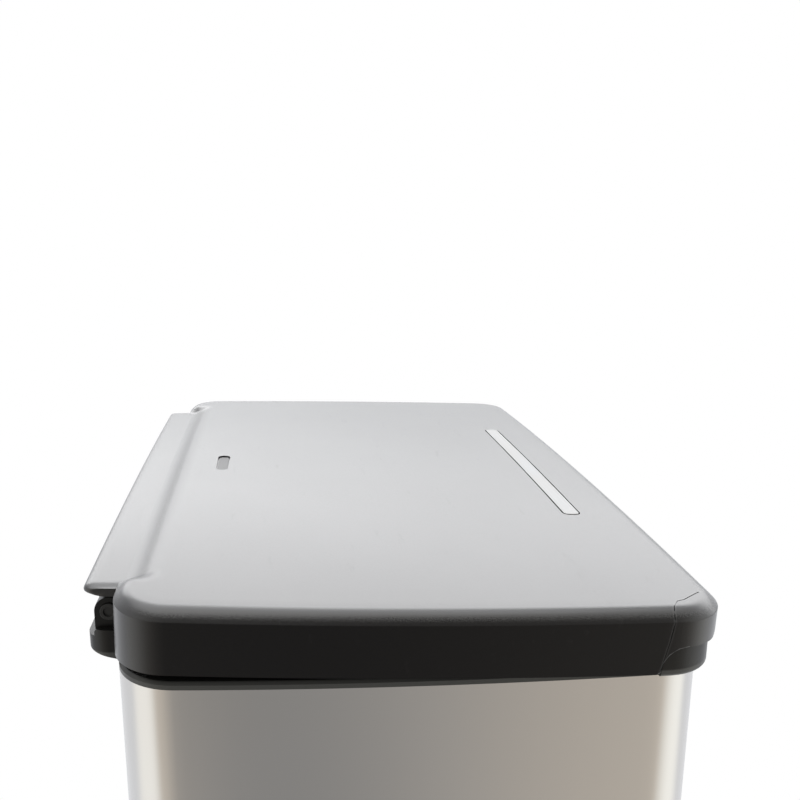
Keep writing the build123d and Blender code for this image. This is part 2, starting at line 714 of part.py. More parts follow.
# Crank: a slotted plate on the lid, with a foot under the pad
slot_near = crank_offset
slot_far = crank_offset / cos(crank_angle)
slot_middle = (slot_near + slot_far) / 2
crank_foot_top = hinge_drop + lid_crown - lid_wall - pad_drop
crank_foot_gauge = 2.0
crank_lid_plane = Plane(origin=hinge_plane.origin, x_dir=lid_plane.y_dir, z_dir=(1, 0, 0))
foot_front, foot_rear = pad_y - hinge_back - pad_width * 0.45, pad_y - hinge_back + pad_width * 0.45
with BuildPart() as crank_arm:
    with BuildSketch(hinge_plane.offset(-crank_thickness / 2)):
        arm_middle = slot_far / 2
        with Locations((-arm_middle * cos(crank_angle), -arm_middle * sin(crank_angle))):
            SlotCenterToCenter(slot_far, crank_width, rotation=lid_opening / 2)
    extrude(amount=crank_thickness)
    with BuildSketch(crank_lid_plane.offset(-crank_thickness / 2)):
        with BuildLine():
            Polyline(
                (foot_front, crank_foot_top),
                (foot_rear, crank_foot_top),
                (foot_rear + 2.0, knuckle_radius),
                (0, 0),
                (foot_front + 4.0, -knuckle_radius),
                close=True,
            )
        make_face()
    extrude(amount=crank_thickness)
    with BuildSketch(crank_lid_plane.offset(-14.0)):
        with Locations(((foot_front + foot_rear) / 2, crank_foot_top - crank_foot_gauge / 2)):
            Rectangle(foot_rear - foot_front, crank_foot_gauge)
    extrude(amount=28.0)
    with BuildSketch(hinge_plane.offset(-crank_thickness)):
        Circle(hinge_rod_radius + running_gap)
        with Locations((-slot_middle * cos(crank_angle), -slot_middle * sin(crank_angle))):
            SlotCenterToCenter(
                slot_far - slot_near + 2 * rod_play,
                2 * (rod_pin_radius + crank_slot_play),
                rotation=lid_opening / 2,
            )
    extrude(amount=2 * crank_thickness, mode=Mode.SUBTRACT)
    with BuildSketch(lid_plane.offset(0)):
        with Locations((-crank_screw_x, pad_y), (crank_screw_x, pad_y)):
            Circle(screw_radius + screw_clearance)
    extrude(amount=-hinge_drop, mode=Mode.SUBTRACT)

with BuildPart() as crank_screws:
    for x in (-crank_screw_x, crank_screw_x):
        foot_low = lid_crown - lid_wall - pad_drop - crank_foot_gauge
        add(
            pan_screw(
                lid_plane.from_local_coords((x, pad_y, foot_low)),
                lid_plane.z_dir,
                crank_foot_gauge + pad_drop - 0.5,
            )
        )

# Push rod: a flat bar with a fork at its top, and the arm that works the damper
damper_arm_z = damper_bottom + damper_length + 26.0
rod_bottom = lever_pin_z - lever_pin_radius - 2.0
with BuildPart() as push_rod:
    with BuildSketch(Plane.XY.offset(rod_bottom)):
        with Locations((0, rod_y)):
            Rectangle(rod_width, rod_depth)
    extrude(amount=rod_pin_z + rod_pin_radius + 2.0 - rod_bottom)
    with BuildSketch(Plane.XY.offset(rod_pin_z - fork_depth)):
        with Locations((0, rod_y)):
            Rectangle(crank_thickness + 2 * fork_gap, 2 * rod_depth)
    extrude(amount=2 * fork_depth, mode=Mode.SUBTRACT)
    with BuildSketch(Plane.XY.offset(damper_arm_z)):
        with Locations(((damper_x + damper_rod_radius + 2.0) / 2, rod_y)):
            Rectangle(damper_x + damper_rod_radius + 2.0, rod_depth)
    extrude(amount=damper_arm_thickness)
    for z, radius in ((rod_pin_z, rod_pin_radius), (lever_pin_z, lever_pin_radius)):
        with BuildSketch(Plane.YZ.offset(-rod_width)):
            with Locations((rod_y, z)):
                Circle(radius + pilot_gap)
        extrude(amount=2 * rod_width, mode=Mode.SUBTRACT)
    with BuildSketch(Plane.XY.offset(damper_arm_z)):
        with Locations((damper_x, rod_y)):
            Circle(damper_rod_radius + pilot_gap)
    extrude(amount=damper_arm_thickness, mode=Mode.SUBTRACT)


def cross_pin(y, z, radius, length):
    """A plain pin along X, centred on the middle plane."""
    with BuildPart() as pin:
        with BuildSketch(Plane.YZ.offset(-length / 2)):
            with Locations((y, z)):
                Circle(radius)
        extrude(amount=length)
        chamfer(pin.faces().filter_by(GeomType.PLANE).edges(), radius / 6)
    return pin.part


crank_pin = cross_pin(rod_y, rod_pin_z, rod_pin_radius, rod_width + 2.0)
lever_pin = cross_pin(rod_y, lever_pin_z, lever_pin_radius, lever_width + 6.0)
pivot_pin = cross_pin(pivot_y, pivot_height, pivot_pin_radius, 2 * (bracket_x + lever_gauge) + 6.0)

# Damper: a cylinder held on the guide channel, and a piston that rises with the push rod
damper_top = damper_bottom + damper_length
cap_thickness = 4.0
bore_radius = damper_radius - 1.5
with BuildPart() as damper_cylinder:
    with BuildSketch(Plane.XY.offset(damper_bottom)):
        with Locations((damper_x, rod_y)):
            Circle(damper_radius)
    extrude(amount=damper_length)
    chamfer(damper_cylinder.faces().filter_by(GeomType.PLANE).edges(), 1.0)
    with BuildSketch(Plane.XY.offset(damper_bottom + cap_thickness)):
        with Locations((damper_x, rod_y)):
            Circle(bore_radius)
    extrude(amount=damper_length - 2 * cap_thickness, mode=Mode.SUBTRACT)
    with BuildSketch(Plane.XY.offset(damper_top - 2 * cap_thickness)):
        with Locations((damper_x, rod_y)):
            Circle(damper_rod_radius + running_gap)
    extrude(amount=3 * cap_thickness, mode=Mode.SUBTRACT)

piston_height = 6.0
piston_z = damper_top - 2 * half_stroke - 2 * cap_thickness - piston_height
with BuildPart() as damper_piston:
    with BuildSketch(Plane.XY.offset(piston_z)):
        with Locations((damper_x, rod_y)):
            Circle(bore_radius - running_gap)
    extrude(amount=piston_height)
    with BuildSketch(Plane.XY.offset(piston_z)):
        with Locations((damper_x, rod_y)):
            Circle(damper_rod_radius)
    extrude(amount=damper_arm_z + damper_arm_thickness + 1.0 - piston_z)

# Guide channel: a steel U around the push rod, from the bucket floor to the collar's lugs
channel_x = channel_inside / 2 + channel_gauge
channel_top = shell_top - channel_top_gap
channel_front = rod_y - channel_depth / 2
with BuildPart() as guide_channel:
    with BuildSketch(Plane.XY.offset(floor_top)):
        with Locations((0, (channel_front + channel_back) / 2)):
            Rectangle(2 * channel_x, channel_back - channel_front)
        with Locations((0, (channel_front + channel_back) / 2 - channel_gauge)):
            Rectangle(channel_inside, channel_back - channel_front, mode=Mode.SUBTRACT)
    extrude(amount=channel_top - floor_top)
    with BuildSketch(Plane.XY.offset(floor_top)):
        with Locations((-channel_feet_x, rod_y), (channel_feet_x, rod_y)):
            Rectangle(channel_foot, channel_depth)
    extrude(amount=channel_gauge)
    with BuildSketch(Plane.XY.offset(floor_top)):
        with Locations(*floor_screws):
            Circle(screw_radius + screw_clearance)
    extrude(amount=channel_gauge, mode=Mode.SUBTRACT)
    with BuildSketch(Plane.XZ.offset(-channel_back)):
        with Locations((-lug_x, shell_top - lug_height + 5.0), (lug_x, shell_top - lug_height + 5.0)):
            Circle(screw_radius + screw_clearance)
    extrude(amount=2 * channel_gauge, mode=Mode.SUBTRACT)
    arm_slot = 2 * half_stroke + damper_arm_thickness + 4.0
    with BuildSketch(Plane.YZ.offset(channel_inside / 2)):
        with Locations((rod_y, damper_arm_z - 2.0 + arm_slot / 2)):
            Rectangle(rod_depth + 3.0, arm_slot)
    extrude(amount=channel_gauge, mode=Mode.SUBTRACT)

with BuildPart() as channel_screws:
    for x in (-lug_x, lug_x):
        seat_z = shell_top - lug_height + 5.0
        add(pan_screw((x, channel_back - channel_gauge, seat_z), (0, 1, 0), channel_gauge + 2.5))
    for x, y in floor_screws:
        add(pan_screw((x, y, floor_top + channel_gauge), (0, 0, -1), channel_gauge + bucket_floor_thickness - 0.5))


def guide_bush(bottom):
    """A plastic block inside the channel, with the push rod running through it."""
    with BuildPart() as bush:
        with BuildSketch(Plane.XY.offset(bottom)):
            with Locations((0, rod_y)):
                RectangleRounded(channel_inside - 2 * bush_play, channel_depth - 2 * bush_play, 1.5)
                Rectangle(rod_width + 2 * rod_play, rod_depth + 2 * rod_play, mode=Mode.SUBTRACT)
        extrude(amount=bush_height)
    return bush.part


lower_bush = guide_bush(floor_top + channel_gauge)
upper_bush = guide_bush(damper_arm_z + damper_arm_thickness + 2 * half_stroke + 3.0)

with BuildPart() as damper_clamp:
    with BuildSketch(Plane.XY.offset(damper_bottom + damper_length / 3)):
        with Locations((damper_x, rod_y)):
            Circle(damper_radius + damper_clamp_wall)
        with Locations(((channel_x + damper_x) / 2, rod_y)):
            Rectangle(damper_x - channel_x, damper_radius)
        with Locations((damper_x, rod_y)):
            Circle(damper_radius + pilot_gap, mode=Mode.SUBTRACT)
    extrude(amount=damper_clamp_height)

# Pedal lever: a channel section lying along the lever plane, u runs towards the rear
lever_low = -lever_flange_down
with BuildPart() as pedal_lever:
    with BuildSketch(lever_plane.offset(lever_flange_up - lever_gauge)):
        with Locations((0, (lever_reach + lever_tail - lever_nose) / 2)):
            Rectangle(lever_width, lever_reach + lever_tail + lever_nose)
        with Locations((0, lever_reach)):
            Rectangle(rod_width + 5.0, rod_depth + 8.0, mode=Mode.SUBTRACT)
    extrude(amount=lever_gauge)
    flange_nose = lever_nose - 22.0
    with BuildSketch(lever_plane.offset(lever_low)):
        for side in (-1, 1):
            with Locations((side * (lever_width - lever_gauge) / 2, (lever_reach + lever_tail - flange_nose) / 2)):
                Rectangle(lever_gauge, lever_reach + lever_tail + flange_nose)
    extrude(amount=lever_flange_up + lever_flange_down - lever_gauge)
    lever_side = Plane(origin=lever_plane.origin, x_dir=lever_plane.y_dir, z_dir=(1, 0, 0))
    with BuildSketch(lever_side.offset(-lever_width)):
        Circle(pivot_pin_radius + running_gap)
        with Locations((lever_reach - half_stroke * lever_angle / 4, 0)):
            SlotCenterToCenter(2.4, 2 * (lever_pin_radius + 0.1))
    extrude(amount=2 * lever_width, mode=Mode.SUBTRACT)
    pedal_screw_u = -pedal_front + pedal_depth / 2
    with BuildSketch(lever_plane):
        with Locations((-pedal_screw_x, pedal_screw_u), (pedal_screw_x, pedal_screw_u)):
            Circle(screw_radius + screw_clearance)
    extrude(amount=2 * lever_flange_up, mode=Mode.SUBTRACT)

# Pivot bracket on the base floor
with BuildPart() as pivot_bracket:
    with BuildSketch(Plane.XY.offset(base_top)):
        with Locations((0, pivot_y)):
            Rectangle(2 * bracket_foot_x + bracket_foot_margin, bracket_depth)
        with Locations(*bracket_screws):
            Circle(screw_radius + screw_clearance, mode=Mode.SUBTRACT)
    extrude(amount=lever_gauge)
    for x in (-bracket_x - lever_gauge, bracket_x):
        with BuildSketch(Plane.YZ.offset(x)):
            with Locations((pivot_y, pivot_height)):
                Circle(2.5 * pivot_pin_radius)
            with Locations((pivot_y, (pivot_height + base_top) / 2)):
                Rectangle(5 * pivot_pin_radius, pivot_height - base_top)
        extrude(amount=lever_gauge)
    with BuildSketch(Plane.YZ.offset(-lever_width)):
        with Locations((pivot_y, pivot_height)):
            Circle(pivot_pin_radius + pilot_gap)
    extrude(amount=2 * lever_width, mode=Mode.SUBTRACT)

with BuildPart() as bracket_screw_set:
    for x, y in bracket_screws:
        add(pan_screw((x, y, base_top + lever_gauge), (0, 0, -1), lever_gauge + base_floor - 0.5))

# Pedal: a steel plate with its front edge folded down, and a ribbed rubber tread
pedal_u = -pedal_front + pedal_depth / 2
pad_low, pad_top = lever_flange_up, lever_flange_up + pedal_plate
with BuildPart() as pedal_pad:
    with BuildSketch(lever_side.offset(-pedal_length / 2)) as fold_section:
        with BuildLine():
            Polyline(
                (-pedal_front, pad_top - pedal_fold),
                (-pedal_front, pad_top),
                (pedal_depth - pedal_front, pad_top),
                (pedal_depth - pedal_front, pad_low),
                (pedal_plate - pedal_front, pad_low),
                (pedal_plate - pedal_front, pad_top - pedal_fold),
                close=True,
            )
        make_face()
        fillet(fold_section.vertices().group_by(Axis.Z)[-1].sort_by(Axis.Y)[0], pedal_plate / 2)
    extrude(amount=pedal_length)
    with BuildSketch(lever_plane.offset(pad_top - 2 * pedal_fold)):
        with Locations((0, pedal_u)):
            RectangleRounded(pedal_length, pedal_depth, pedal_corner)
    extrude(amount=3 * pedal_fold, mode=Mode.INTERSECT)
    with BuildSketch(lever_plane):
        with Locations((-pedal_screw_x, pedal_screw_u), (pedal_screw_x, pedal_screw_u)):
            Circle(screw_radius + pilot_gap)
    extrude(amount=pad_top - 0.5, mode=Mode.SUBTRACT)

with BuildPart() as pedal_tread:
    tread_low = lever_flange_up + pedal_plate
    tread_depth = pedal_depth - 2 * tread_margin
    with BuildSketch(lever_plane.offset(tread_low)):
        with Locations((0, pedal_u)):
            RectangleRounded(pedal_length - 2 * tread_margin, tread_depth, pedal_corner)
    extrude(amount=tread_thickness / 2)
    with BuildSketch(lever_plane.offset(tread_low)):
        with Locations((0, pedal_u)):
            with GridLocations(0, tread_depth / tread_ribs, 1, tread_ribs):
                SlotOverall(pedal_length - 5 * tread_margin, tread_depth / tread_ribs / 2)
    extrude(amount=tread_thickness)

with BuildPart() as pedal_screws:
    for x in (-pedal_screw_x, pedal_screw_x):
        seat = lever_plane.from_local_coords((x, pedal_screw_u, lever_flange_up - lever_gauge))
        add(pan_screw(seat, lever_plane.z_dir, lever_gauge + pedal_plate - 1.0))

nodes = {
    "steel_shell": steel_shell.part,
    "base_pan": base_pan.part,
    "rubber_feet": rubber_feet.part,
    "bucket_floor": bucket_floor.part,
    "bucket_left": bucket_left,
    "bucket_right": bucket_right,
    "rim_collar": rim_collar.part,
    "lid_shell": lid_shell.part,
    "accent_strip": accent_strip.part,
    "blank_inlay": blank_inlay.part,
    "lid_liner": lid_liner.part,
    "liner_screws": liner_screw_set.part,
    "lid_bumpers": lid_bumpers.part,
    "hinge_rod": hinge_rod.part,
    "crank_arm": crank_arm.part,
    "crank_screws": crank_screws.part,
    "push_rod": push_rod.part,
    "crank_pin": crank_pin,
    "lever_pin": lever_pin,
    "damper_cylinder": damper_cylinder.part,
    "damper_piston": damper_piston.part,
    "damper_clamp": damper_clamp.part,
    "guide_channel": guide_channel.part,
    "channel_screws": channel_screws.part,
    "lower_bush": lower_bush,
    "upper_bush": upper_bush,
    "pedal_lever": pedal_lever.part,
    "pivot_bracket": pivot_bracket.part,
    "bracket_screws": bracket_screw_set.part,
    "pivot_pin": pivot_pin,
    "pedal_pad": pedal_pad.part,
    "pedal_tread": pedal_tread.part,
    "pedal_screws": pedal_screws.part,
}

os.makedirs("parts", exist_ok=True)
for name, piece in nodes.items():
    piece.label = name
    export_step(piece, f"parts/{name}.step")

print("hinge axis y, z:", round(hinge_y, 3), round(hinge_z, 3))
print("rod stroke:", round(2 * half_stroke, 3), "lever turn:", round(2 * lever_angle * 180 / 3.14159265, 3))
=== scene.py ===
import json
import math

import bmesh
import bpy
from mathutils import Matrix, Vector


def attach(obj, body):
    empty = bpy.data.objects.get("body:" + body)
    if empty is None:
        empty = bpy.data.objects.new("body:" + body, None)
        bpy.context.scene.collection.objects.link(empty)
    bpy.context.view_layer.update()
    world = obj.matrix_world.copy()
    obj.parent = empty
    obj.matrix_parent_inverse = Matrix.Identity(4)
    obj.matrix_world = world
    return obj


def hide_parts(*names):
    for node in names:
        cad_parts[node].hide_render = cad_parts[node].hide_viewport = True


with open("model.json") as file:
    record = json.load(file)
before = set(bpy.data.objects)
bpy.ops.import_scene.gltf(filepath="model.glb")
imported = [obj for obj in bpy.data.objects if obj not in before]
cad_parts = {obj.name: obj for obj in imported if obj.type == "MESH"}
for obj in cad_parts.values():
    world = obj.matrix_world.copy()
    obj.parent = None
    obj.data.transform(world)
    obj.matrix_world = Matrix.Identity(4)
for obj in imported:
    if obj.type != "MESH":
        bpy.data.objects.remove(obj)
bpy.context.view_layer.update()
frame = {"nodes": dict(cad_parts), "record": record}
nodes = frame["nodes"]
MM = 0.001

# Sizes repeated from the model, in millimetres
BODY_LENGTH, BODY_WIDTH, BODY_CORNER = 477.0, 294.0, 32.0
END_BOW = 5.5
SHELL_BOTTOM, SHELL_TOP, SHELL_WALL = 16.0, 612.0, 1.0
LID_LENGTH, LID_WIDTH, LID_CORNER = 485.0, 300.0, 29.0
LID_TURN_X = 215.4
LID_TILT = math.radians(1.8)
LID_HEIGHT, LID_FORWARD = 650.0, 3.6
CROWN = 4.5
SKIRT, FRONT_SKIRT = 32.0, 18.0
FRONT_CUT_Y, FRONT_CUT_RADIUS = 114.5, 13.0
LID_WALL, FRONT_LIP = 2.6, 9.5
COVER_HALF, COVER_STEP, COVER_CORNER, COVER_THICKNESS = 205.0, 5.3, 6.0, 5.3
STRIP_Y, STRIP_LENGTH, STRIP_WIDTH, STRIP_CORNER = -111.0, 221.0, 9.5, 3.0
BADGE_Y, BADGE_LENGTH, BADGE_WIDTH = 108.0, 36.0, 7.0
OPENING_HALF, OPENING_TOP = 24.0, 56.0


# Shader kit
class Socket:
    """A node's output; arithmetic on it adds Math nodes."""

    def __init__(self, finish, output):
        self.finish = finish
        self.output = output

    def math(self, operation, *values):
        return self.finish.node("ShaderNodeMath", {"operation": operation}, *values)[0]

    def __add__(self, other):
        return self.math("ADD", self, other)

    def __radd__(self, other):
        return self.math("ADD", other, self)

    def __sub__(self, other):
        return self.math("SUBTRACT", self, other)

    def __rsub__(self, other):
        return self.math("SUBTRACT", other, self)

    def __mul__(self, other):
        return self.math("MULTIPLY", self, other)

    def __rmul__(self, other):
        return self.math("MULTIPLY", other, self)

    def __truediv__(self, other):
        return self.math("DIVIDE", self, other)

    def __pow__(self, other):
        return self.math("POWER", self, other)

    def clamp(self):
        return self.math("MINIMUM", self.math("MAXIMUM", self, 0.0), 1.0)

    def rise(self, low, high):
        """0 below low, 1 above high, and smooth between them."""
        return self.finish.node(
            "ShaderNodeMapRange", {"interpolation_type": "SMOOTHSTEP"}, self, low, high, 0.0, 1.0
        )[0]


class Finish:
    """A node tree with its shader; node() adds any other node."""

    def __init__(self, name=None, tree=None):
        if tree is None:
            self.material = bpy.data.materials.new(name)
            self.material.use_nodes = True
            tree = self.material.node_tree
        self.tree = tree
        kinds = {n.bl_idname: n for n in tree.nodes}
        self.shader = kinds.get("ShaderNodeBsdfPrincipled")
        self.surface = kinds.get("ShaderNodeOutputMaterial") or kinds.get("ShaderNodeOutputWorld")

    def node(self, kind, settings=None, *values, **named):
        made = self.tree.nodes.new(kind)
        for key, value in (settings or {}).items():
            setattr(made, key, value)
        for place, value in list(enumerate(values)) + list(named.items()):
            self.feed(made.inputs[place.replace("_", " ") if isinstance(place, str) else place], value)
        return [Socket(self, o) for o in made.outputs]

    def feed(self, socket, value):
        if isinstance(value, Socket):
            self.tree.links.new(value.output, socket)
        else:
            socket.default_value = value

    def set(self, **named):
        for name, value in named.items():
            self.feed(self.shader.inputs[name.replace("_", " ")], value)

    def place(self):
        return self.node("ShaderNodeTexCoord")[3]

    def mix(self, factor, a, b):
        """a where factor is 0, b where it is 1, for colours."""
        made = self.tree.nodes.new("ShaderNodeMix")
        made.data_type = "RGBA"
        self.feed(made.inputs[0], factor)
        self.feed(made.inputs[6], a if isinstance(a, Socket) else (*a, 1.0))
        self.feed(made.inputs[7], b if isinstance(b, Socket) else (*b, 1.0))
        return Socket(self, made.outputs[2])

    def noise(self, place, scale, detail=3.0, rough=0.5, stretch=(1, 1, 1)):
        spread = self.node("ShaderNodeVectorMath", {"operation": "MULTIPLY"}, place, stretch)[0]
        values = {"Vector": spread, "Scale": scale, "Detail": detail, "Roughness": rough}
        return self.node("ShaderNodeTexNoise", {}, **values)[0]

    def bump(self, height, depth, strength=1.0):
        normal = self.node("ShaderNodeBump", {}, Strength=strength, Distance=depth, Height=height)[0]
        self.feed(self.shader.inputs["Normal"], normal)

    def near_path(self, place, points):
        """Distance from a line through the points, in metres."""
        nearest = None
        for a, b in zip(points, points[1:]):
            a, b = Vector(a), Vector(b)
            run = b - a
            offset = self.node("ShaderNodeVectorMath", {"operation": "SUBTRACT"}, place, tuple(a))[0]
            along = self.node("ShaderNodeVectorMath", {"operation": "DOT_PRODUCT"}, offset, tuple(run))[1]
            share = (along / run.length_squared).clamp()
            foot = self.node("ShaderNodeVectorMath", {"operation": "SCALE"}, tuple(run), Scale=share)[0]
            gap = self.node("ShaderNodeVectorMath", {"operation": "SUBTRACT"}, offset, foot)[0]
            length = self.node("ShaderNodeVectorMath", {"operation": "LENGTH"}, gap)[1]
            nearest = length if nearest is None else length.math("MINIMUM", nearest, length)
        return nearest


# Shapes
def on_lid(x, y, z):
    """A point of the lid's own frame, in millimetres, as a place in metres."""
    return Vector(
        (
            x * MM,
            (-LID_FORWARD + y * math.cos(LID_TILT) - z * math.sin(LID_TILT)) * MM,
            (LID_HEIGHT + y * math.sin(LID_TILT) + z * math.cos(LID_TILT)) * MM,
        )
    )


def crown(x):
    half = LID_LENGTH / 2 + END_BOW
    return CROWN * (1 - (x / half) ** 2)


def smooth(t):
    t = min(max(t, 0.0), 1.0)
    return t * t * (3 - 2 * t)


def outline(length, width, corner, inset=0.0, ends=96, turns=18, sides=120, extra=()):
    """Points round a rounded rectangle with bowed ends, starting at the middle of the +X end."""
    corner = max(corner - inset, 1.0)
    x, half = length / 2 - inset, width / 2 - inset
    radius = (half**2 + END_BOW**2) / (2 * END_BOW)
    middle = x + END_BOW - radius
    turn_y = half - corner
    turn_x = middle + math.sqrt((radius - corner) ** 2 - turn_y**2)
    angle = math.atan2(turn_y, turn_x - middle)
    shares = sorted(set([i / (ends / 2) for i in range(int(ends / 2))] + list(extra)))
    quarter = [(middle + radius * math.cos(angle * t), radius * math.sin(angle * t)) for t in shares]
    for i in range(turns):
        a = angle + (math.pi / 2 - angle) * i / turns
        quarter.append((turn_x + corner * math.cos(a), turn_y + corner * math.sin(a)))
    for i in range(sides // 2):
        quarter.append((turn_x * (1 - i / (sides / 2)), half))
    quarter.append((0.0, half))
    left = [(-px, py) for px, py in reversed(quarter[:-1])]
    top = quarter + left
    return top + [(px, -py) for px, py in reversed(top[1:-1])]


def add_mesh(name, points, faces):
    mesh = bpy.data.meshes.new(name)
    mesh.from_pydata(points, [], faces)
    mesh.validate()
    made = bpy.data.objects.new(name, mesh)
    bpy.context.scene.collection.objects.link(made)
    return made


def loft(name, rings, close_first=True, close_last=True, keep=None):
    """A skin over closed rings of equally many points, its ends closed to their middles."""
    count = len(rings[0])
    points = [p for ring in rings for p in ring]
    faces = []
    for r in range(len(rings) - 1):
        for i in range(count):
            j = (i + 1) % count
            if keep is None or keep(r, i):
                faces.append((r * count + i, r * count + j, (r + 1) * count + j, (r + 1) * count + i))
    for close, start in ((close_first, 0), (close_last, (len(rings) - 1) * count)):
        if close:
            ring = points[start : start + count]
            centre = sum(ring, Vector()) / count
            points.append(centre)
            middle = len(points) - 1
            for i in range(count):
                faces.append((start + i, start + (i + 1) % count, middle))
    made = add_mesh(name, points, faces)
    tidy(made)
    return made


def tidy(piece, angle=32.0):
    """Merges doubled points, turns the faces outwards and shades them smooth up to an angle."""
    shape = bmesh.new()
    shape.from_mesh(piece.data)
    bmesh.ops.remove_doubles(shape, verts=shape.verts, dist=0.000002)
    bmesh.ops.recalc_face_normals(shape, faces=shape.faces)
    shape.to_mesh(piece.data)
    shape.free()
    shade(piece, angle)


def shade(piece, angle=32.0):
    for face in piece.data.polygons:
        face.use_smooth = True
    piece.data.set_sharp_from_angle(angle=math.radians(angle))


def finish_shape(piece):
    """Turns the piece and its modifiers into a plain mesh."""
    graph = bpy.context.evaluated_depsgraph_get()
    mesh = bpy.data.meshes.new_from_object(piece.evaluated_get(graph))
    piece.modifiers.clear()
    piece.data = mesh
    return piece


def refined(node, bevel=0.0, angle=30.0, flat=0.4):
    """A copy of a node with its flat faces joined and its edges softened, in the node's place."""
    copy = bpy.data.objects.new(node + "_shape", nodes[node].data.copy())
    bpy.context.scene.collection.objects.link(copy)
    shape = bmesh.new()
    shape.from_mesh(copy.data)
    bmesh.ops.remove_doubles(shape, verts=shape.verts, dist=0.000003)
    bmesh.ops.dissolve_limit(
        shape, angle_limit=math.radians(flat), verts=shape.verts, edges=shape.edges
    )
    shape.to_mesh(copy.data)
    shape.free()
    for layer in list(copy.data.attributes):
        if layer.name == "custom_normal":
            copy.data.attributes.remove(layer)
    shade(copy, angle)
    if bevel:
        soft = copy.modifiers.new("soft", "BEVEL")
        soft.width = bevel
        soft.segments = 2
        soft.limit_method = "ANGLE"
        soft.angle_limit = math.radians(38)
        soft.harden_normals = True
        soft.use_clamp_overlap = True
        finish_shape(copy)
    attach(copy, node_body[node])
    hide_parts(node)
    return copy


node_body = {n: body for body, names in frame["record"]["behaviour"]["bodies"].items() for n in names}


def dress(piece, finish):
    piece.data.materials.clear()
    piece.data.materials.append(finish.material)


# Finishes
crack_points = [
    on_lid(-222.0, -139.5, crown(222)),
    on_lid(-226.5, -133.5, crown(226)),
    on_lid(-230.5, -128.5, 0.6),
    on_lid(-232.0, -124.6, 0.4),
    on_lid(-237.6, -120.6, 0.0),
    on_lid(-241.0, -119.6, -1.2),
    on_lid(-244.3, -118.8, -5.2),
    on_lid(-244.8, -117.4, -14.8),
    on_lid(-244.9, -116.1, -21.0),
    on_lid(-245.0, -114.8, -28.0),
    on_lid(-245.0, -113.0, -33.7),
]


def arc_point(degrees):
    """A point of the skirt's front cut-out, on the lid's outer face at its near end."""
    a = math.radians(degrees)
    y = -FRONT_CUT_Y - FRONT_CUT_RADIUS * (1 - math.cos(a))
    turn_y = LID_WIDTH / 2 - LID_CORNER
    past = max(-y - turn_y, 0.0)
    x = -LID_LENGTH / 2 - END_BOW * (1 - (y / 150.0) ** 2)
    if past:
        x = -LID_TURN_X - math.sqrt(LID_CORNER**2 - past**2)
    return on_lid(x, y, -FRONT_SKIRT - FRONT_CUT_RADIUS * (1 - math.sin(a)))


# Points for a painted highlight: a thin light line along the skirt's front cut-out
highlight_arc_points = [on_lid(-244.9, -114.5, -32.0)] + [arc_point(d) for d in (0, 22, 45, 68, 90)]


def lid_plastic():
    f = Finish("black_lid")
    place = f.place()
    across, along, up = f.node("ShaderNodeSeparateXYZ", {}, place)
    grain = f.noise(place, 900.0, 2.0, 0.6)
    speckle = f.noise(place, 2600.0, 1.0, 0.5)
    broad = f.noise(place, 9.0, 3.0, 0.55)
    scuff = f.noise(place, 60.0, 4.0, 0.7, (0.4, 2.2, 1.4))
    gap = f.near_path(place, crack_points)
    crack = 1.0 - gap.rise(0.00014, 0.00036)
    lip = gap.rise(0.0003, 0.0005) * (1.0 - gap.rise(0.0005, 0.0013))
    wear = (scuff - 0.6).rise(0.0, 0.18)
    # The top is polished, and the grain shows where the edge turns down
    bulge = CROWN * MM - across * across * (CROWN * MM / (LID_LENGTH / 2 * MM + END_BOW * MM) ** 2)
    height = up - LID_HEIGHT * MM - (along + LID_FORWARD * MM) * math.tan(LID_TILT) - bulge
    top = height.rise(-0.0046, -0.0012)
    turning = top * (1.0 - top) * 4.0
    polish = (top + (speckle - 0.5) * 3.0 * turning).clamp()
    polish = polish.math("MAXIMUM", polish, along.rise(0.145, 0.149))
    polish = polish.math("MAXIMUM", polish, along.math("ABSOLUTE", along).rise(0.116, 0.146))
    # Painted highlight: a thin light grey line along the front cut-out's arc, standing in for light caught on
    # that edge
    edge = 1.0 - f.near_path(place, highlight_arc_points).rise(0.0003, 0.0006)
    tone = f.mix(wear * 0.3, (0.0042, 0.0038, 0.0040), (0.020, 0.019, 0.019))
    # Paler grey at the crack's raised lip, and the painted highlight line along the front cut-out's arc
    tone = f.mix((lip * 0.12 + edge * 0.7).clamp(), tone, (0.12, 0.12, 0.12))
    f.set(Base_Color=f.mix(crack, tone, (0.0, 0.0, 0.0)), Coat_Weight=polish * (1.0 - crack))
    f.set(Roughness=(0.34 + 0.10 * grain + 0.08 * (broad - 0.5) + 0.10 * wear + 0.4 * crack).clamp())
    f.set(Specular_IOR_Level=0.26, IOR=1.5, Coat_Roughness=0.32, Coat_IOR=1.5)
    f.bump(grain * (0.6 + 1.6 * turning) + speckle * (0.4 + 2.6 * turning) - crack * 6.0 + lip * 0.5, 0.00006)
    return f


def plain_plastic(name, colour, rough, grain_scale=1200.0, depth=0.00003):
    f = Finish(name)
    place = f.place()
    grain = f.noise(place, grain_scale, 2.0, 0.5)
    broad = f.noise(place, 14.0, 3.0, 0.5)
    f.set(Base_Color=f.mix(broad, colour, tuple(c * 1.25 for c in colour)))
    f.set(Roughness=(rough + 0.08 * (grain - 0.5) + 0.08 * (broad - 0.5)).clamp())
    f.bump(grain, depth)
    return f


def brushed_steel(name, colour, rough, stretch, depth=0.000012, warm=(1.0, 0.94, 0.87)):
    f = Finish(name)
    place = f.place()
    streak = f.noise(place, 380.0, 3.0, 0.65, stretch)
    fine = f.noise(place, 1500.0, 2.0, 0.5, stretch)
    broad = f.noise(place, 5.0, 2.0, 0.5)
    tinted = tuple(a * b for a, b in zip(colour, warm))
    f.set(Base_Color=f.mix(broad.rise(0.35, 0.7), colour, tinted), Metallic=1.0)
    f.set(Roughness=(rough + 0.10 * (streak - 0.5) + 0.05 * (broad - 0.5)).clamp())
    f.bump(streak * 0.6 + fine * 0.4, depth)
    return f


